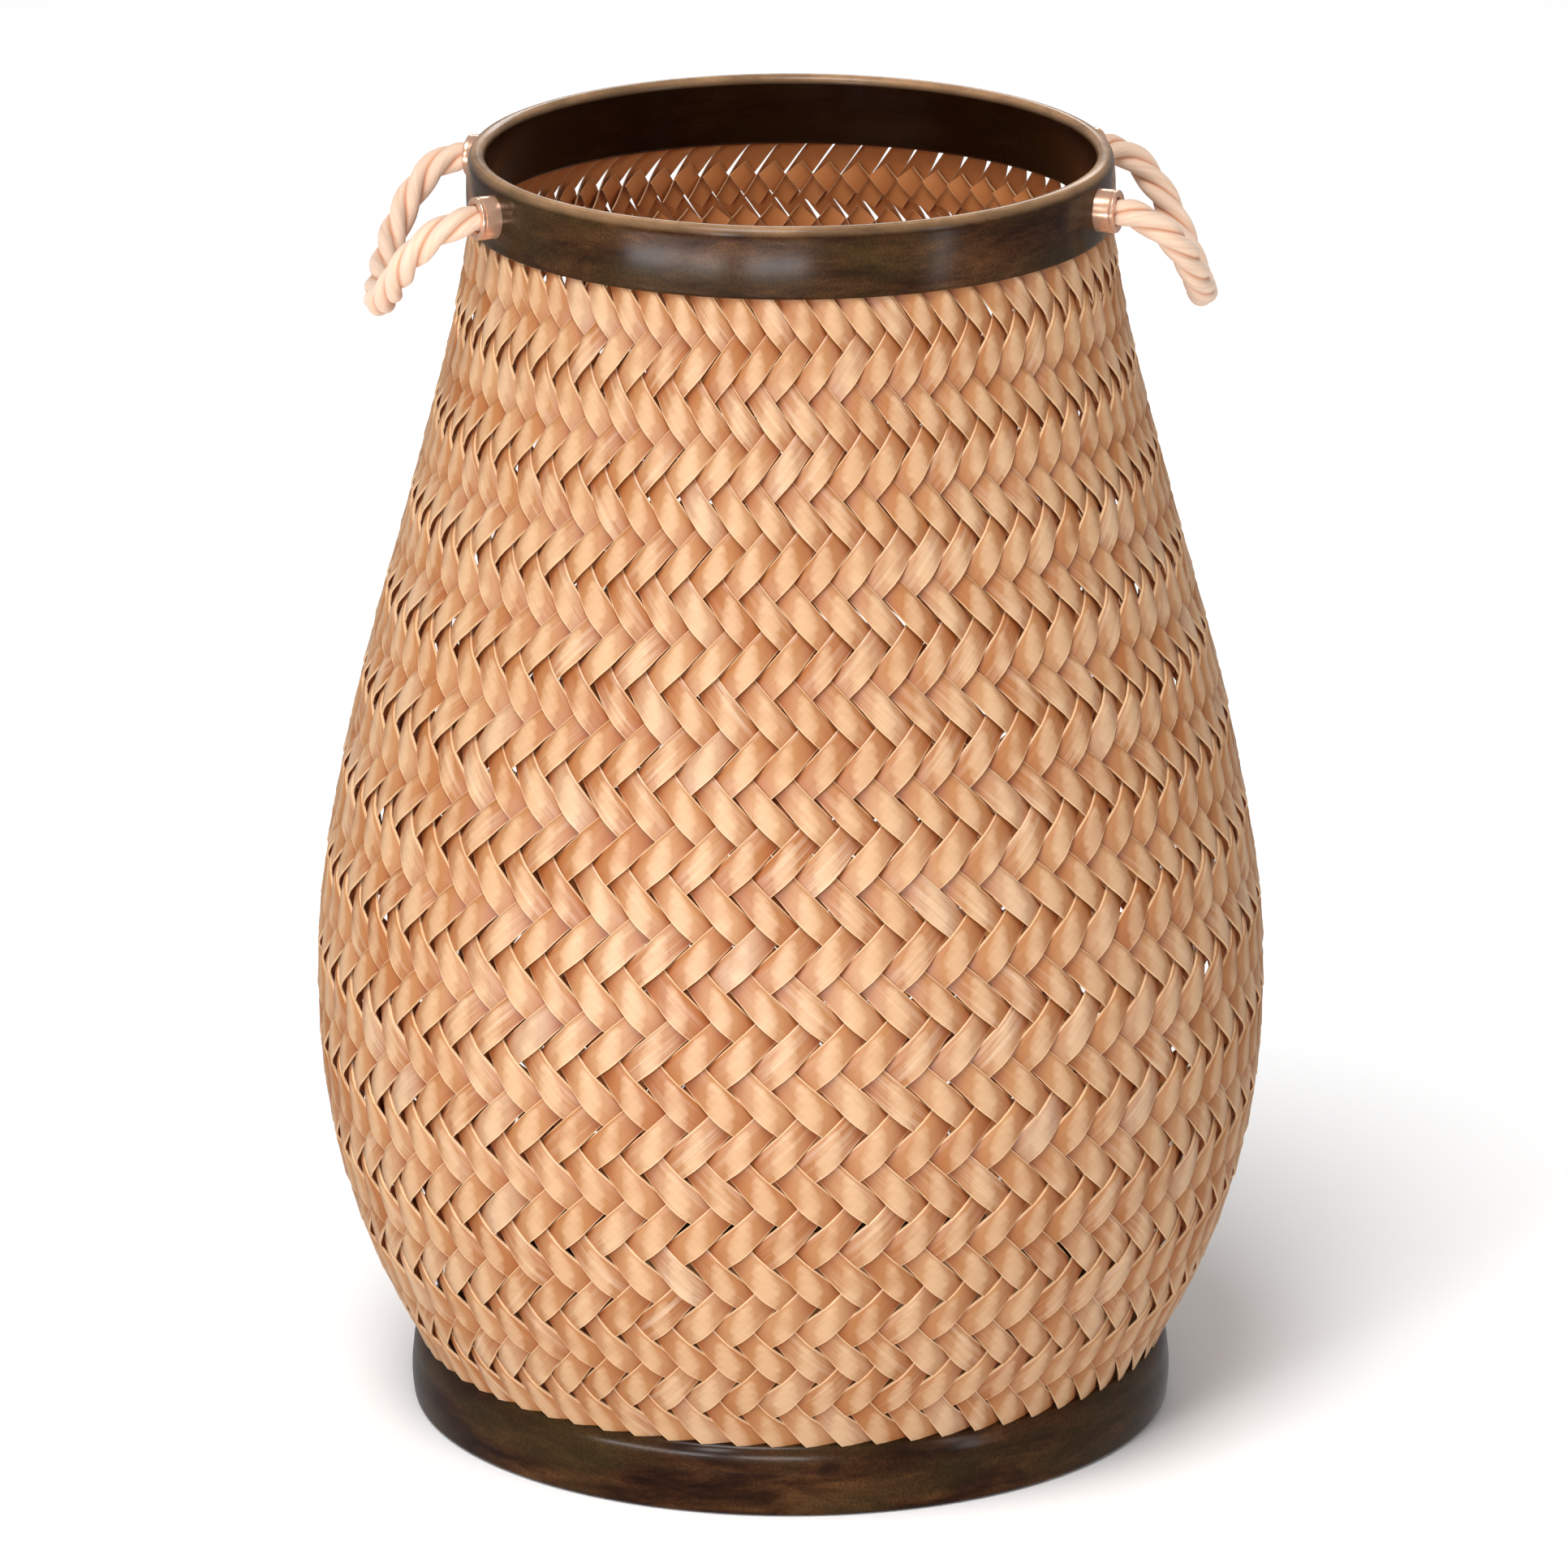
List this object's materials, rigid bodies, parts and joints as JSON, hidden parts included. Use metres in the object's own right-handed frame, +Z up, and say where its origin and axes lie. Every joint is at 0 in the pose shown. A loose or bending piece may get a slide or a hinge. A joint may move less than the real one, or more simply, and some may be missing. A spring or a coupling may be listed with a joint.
{
  "type": "log basket",
  "caption": "Tall pear-shaped woven splint basket with a wooden rim, a wooden base ring and two swinging rope loop handles.",
  "frame": {"origin": "centre of the basket on the floor", "axes": "+Z up along the basket's axis; +X towards the right handle, -Y towards the front"},
  "size_m": [0.423, 0.423, 0.576],
  "materials": {
    "dark_wood": "dark brown stained wood, satin varnish",
    "wicker": "pale woven wood splints, light satin",
    "board": "unfinished plywood",
    "screw_steel": "plain steel",
    "copper_metal": "polished copper plating",
    "rope": "cream twisted cotton rope"
  },
  "bodies": {
    "basket": {"rim_ring": "dark_wood", "weave_neck": "wicker", "weave_shoulder": "wicker", "weave_waist": "wicker", "weave_belly": "wicker", "weave_foot": "wicker", "base_ring": "dark_wood", "floor_board": "board", "floor_screws": "screw_steel", "left_front_ferrule": "copper_metal", "left_rear_ferrule": "copper_metal", "right_front_ferrule": "copper_metal", "right_rear_ferrule": "copper_metal", "left_rope_ends": "rope", "right_rope_ends": "rope"},
    "left_handle": {"left_rope_handle": "rope"},
    "right_handle": {"right_rope_handle": "rope"}
  },
  "joints": [
    {"name": "left_handle_swing", "type": "hinge", "parent": "basket", "child": "left_handle", "pos_m": [-0.1465, 0, 0.56025], "axis": [0, 1, 0], "range_deg": [0, 120]},
    {"name": "right_handle_swing", "type": "hinge", "parent": "basket", "child": "right_handle", "pos_m": [0.1465, 0, 0.56025], "axis": [0, -1, 0], "range_deg": [0, 120]}
  ]
}
